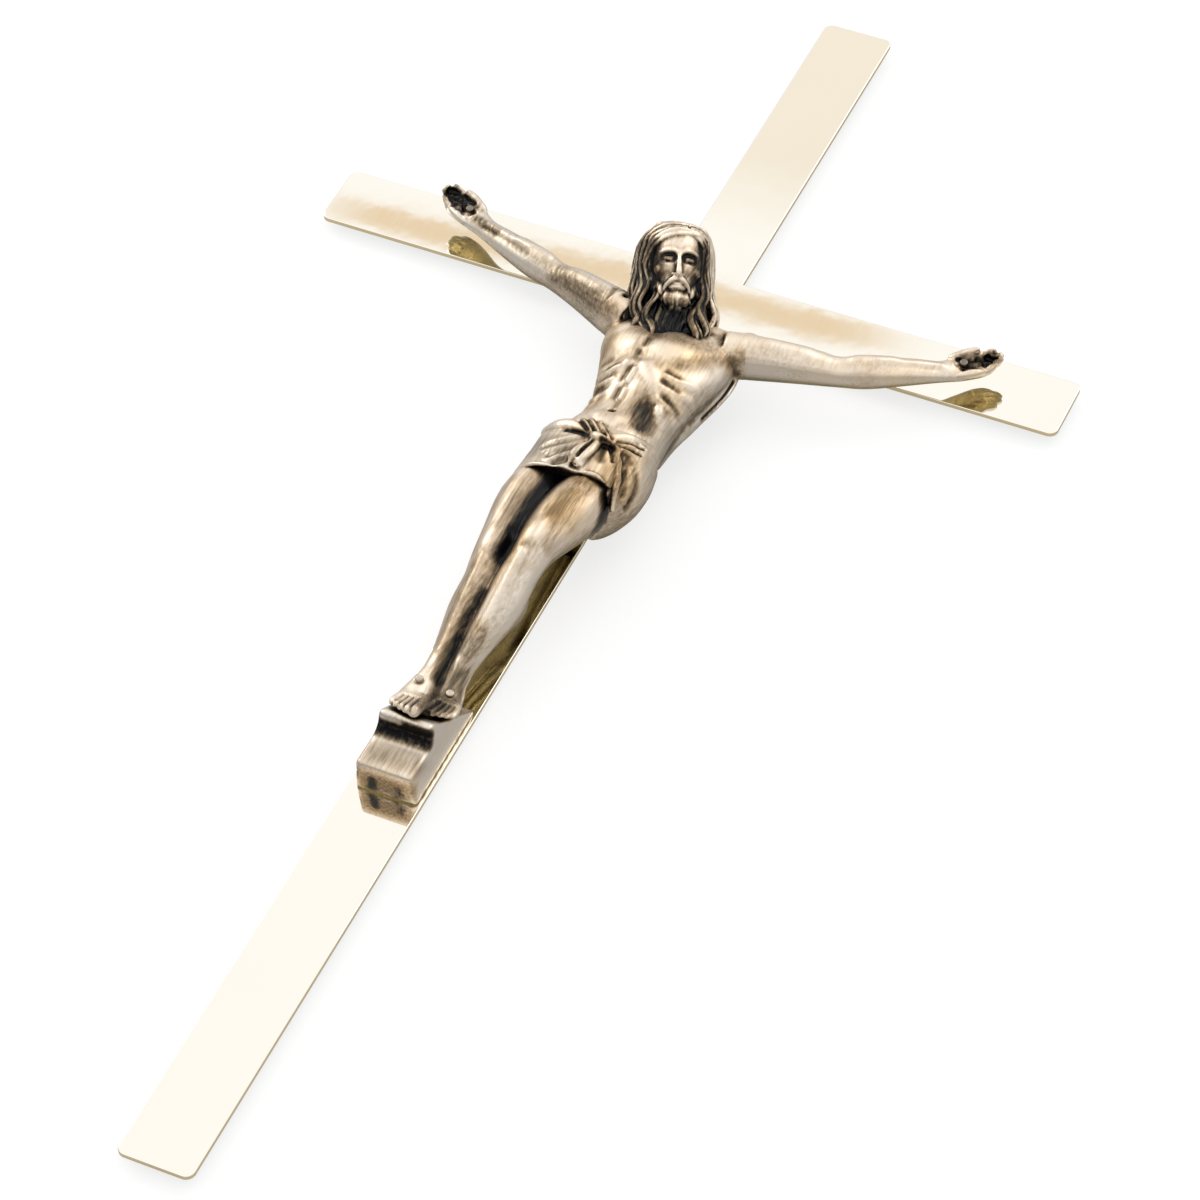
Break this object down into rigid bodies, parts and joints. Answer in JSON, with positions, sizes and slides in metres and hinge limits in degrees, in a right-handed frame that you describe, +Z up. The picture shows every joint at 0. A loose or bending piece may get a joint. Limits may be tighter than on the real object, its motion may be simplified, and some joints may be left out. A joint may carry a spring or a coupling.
{
  "type": "wall crucifix",
  "caption": "Flat polished brass cross plate carrying a cast corpus with outstretched arms on a sloped footrest, hung on a wall by a swinging wire ring behind the top.",
  "frame": {"origin": "on the back face of the cross plate, at the height of the hanger ring's hinge, on the upright's centre line", "axes": "+X to the viewer's right, +Z up as it hangs, +Y into the wall; the figure faces -Y"},
  "size_m": [0.214, 0.0352, 0.42],
  "materials": {
    "polished_brass": "polished pale brass, lacquered, with fine scratches",
    "antique_bronze": "die-cast zinc plated in antique bronze, brushed bright on the high spots and black in the recesses",
    "plated_steel": "zinc-plated steel",
    "hanger_brass": "plain rolled and drawn brass"
  },
  "bodies": {
    "crucifix": {"cross_plate": "polished_brass", "body": "antique_bronze", "head": "antique_bronze", "left_arm": "antique_bronze", "right_arm": "antique_bronze", "footrest": "antique_bronze", "hand_nails": "antique_bronze", "foot_nails": "antique_bronze", "fixing_screws": "plated_steel", "fixing_washers": "plated_steel", "hanger_strap": "hanger_brass"},
    "ring": {"hanger_ring": "hanger_brass"}
  },
  "joints": [
    {"name": "ring_swing", "type": "hinge", "parent": "crucifix", "child": "ring", "pos_m": [0, 0.00145, 0], "axis": [1, 0, 0], "range_deg": [0, 180]}
  ]
}
